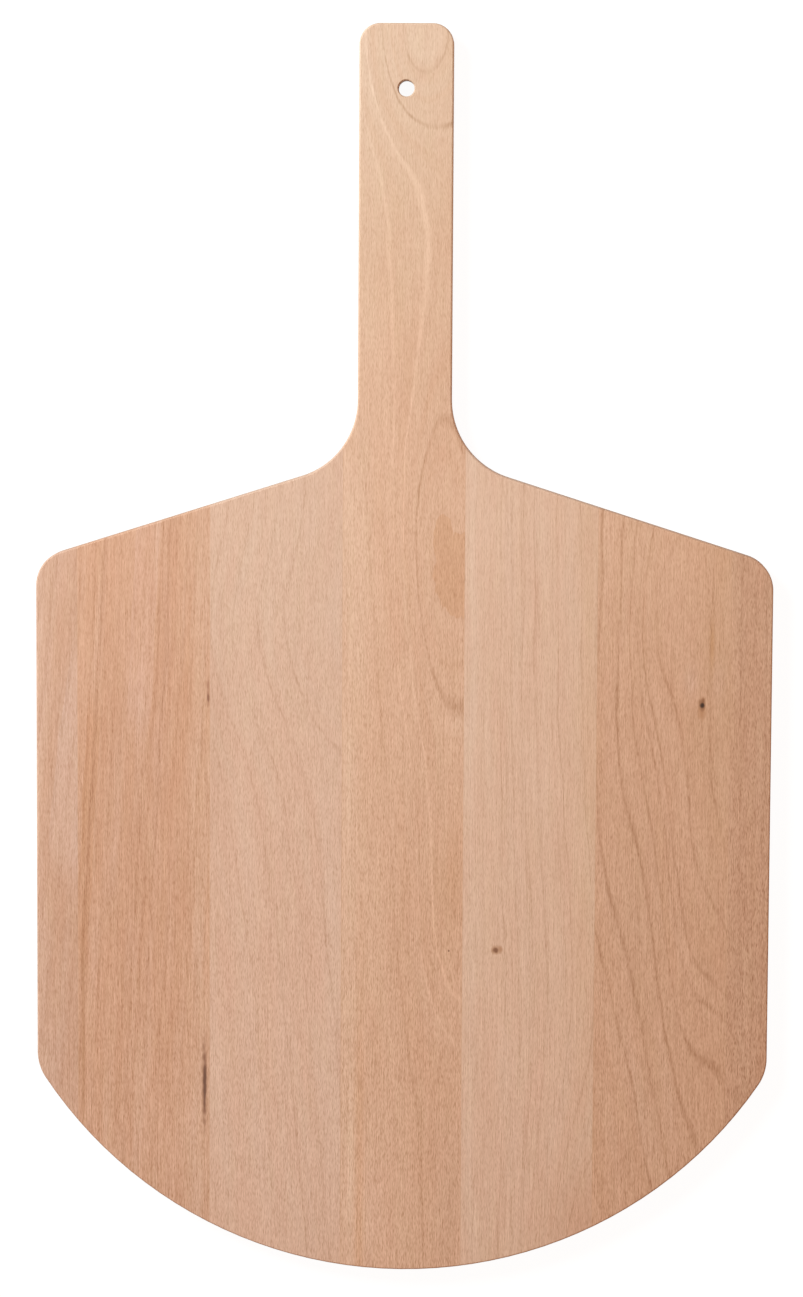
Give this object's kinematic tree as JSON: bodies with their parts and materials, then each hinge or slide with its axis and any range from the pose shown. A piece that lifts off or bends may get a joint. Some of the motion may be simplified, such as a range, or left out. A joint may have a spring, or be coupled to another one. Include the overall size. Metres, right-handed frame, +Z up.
{
  "type": "pizza board",
  "caption": "Flat wooden serving board for a pizza: broad blade with rounded front and sloping shoulders, narrow handle with a hanging hole, glued up from staves.",
  "frame": {"origin": "on the underside, below the middle of the board's length and width", "axes": "+Z up out of the serving face, +Y along the board towards the handle's end, +X across the blade to the right"},
  "size_m": [0.3, 0.51, 0.01],
  "materials": {
    "beech_warm": "bare sanded beech, warm, matt",
    "beech_pale": "bare sanded beech, pale pinkish, matt",
    "beech_tan": "bare sanded beech, tan with dark growth lines, matt",
    "beech_brown": "bare sanded beech, the darkest stave, matt",
    "wood_glue": "cured wood glue, thin amber film"
  },
  "bodies": {
    "root": {"handle_stave": "beech_warm", "left_stave_1": "beech_pale", "left_stave_2": "beech_tan", "left_stave_3": "beech_pale", "right_stave_1": "beech_pale", "right_stave_2": "beech_tan", "right_stave_3": "beech_brown", "left_glue_line_1": "wood_glue", "left_glue_line_2": "wood_glue", "left_glue_line_3": "wood_glue", "right_glue_line_1": "wood_glue", "right_glue_line_2": "wood_glue", "right_glue_line_3": "wood_glue"}
  },
  "joints": []
}
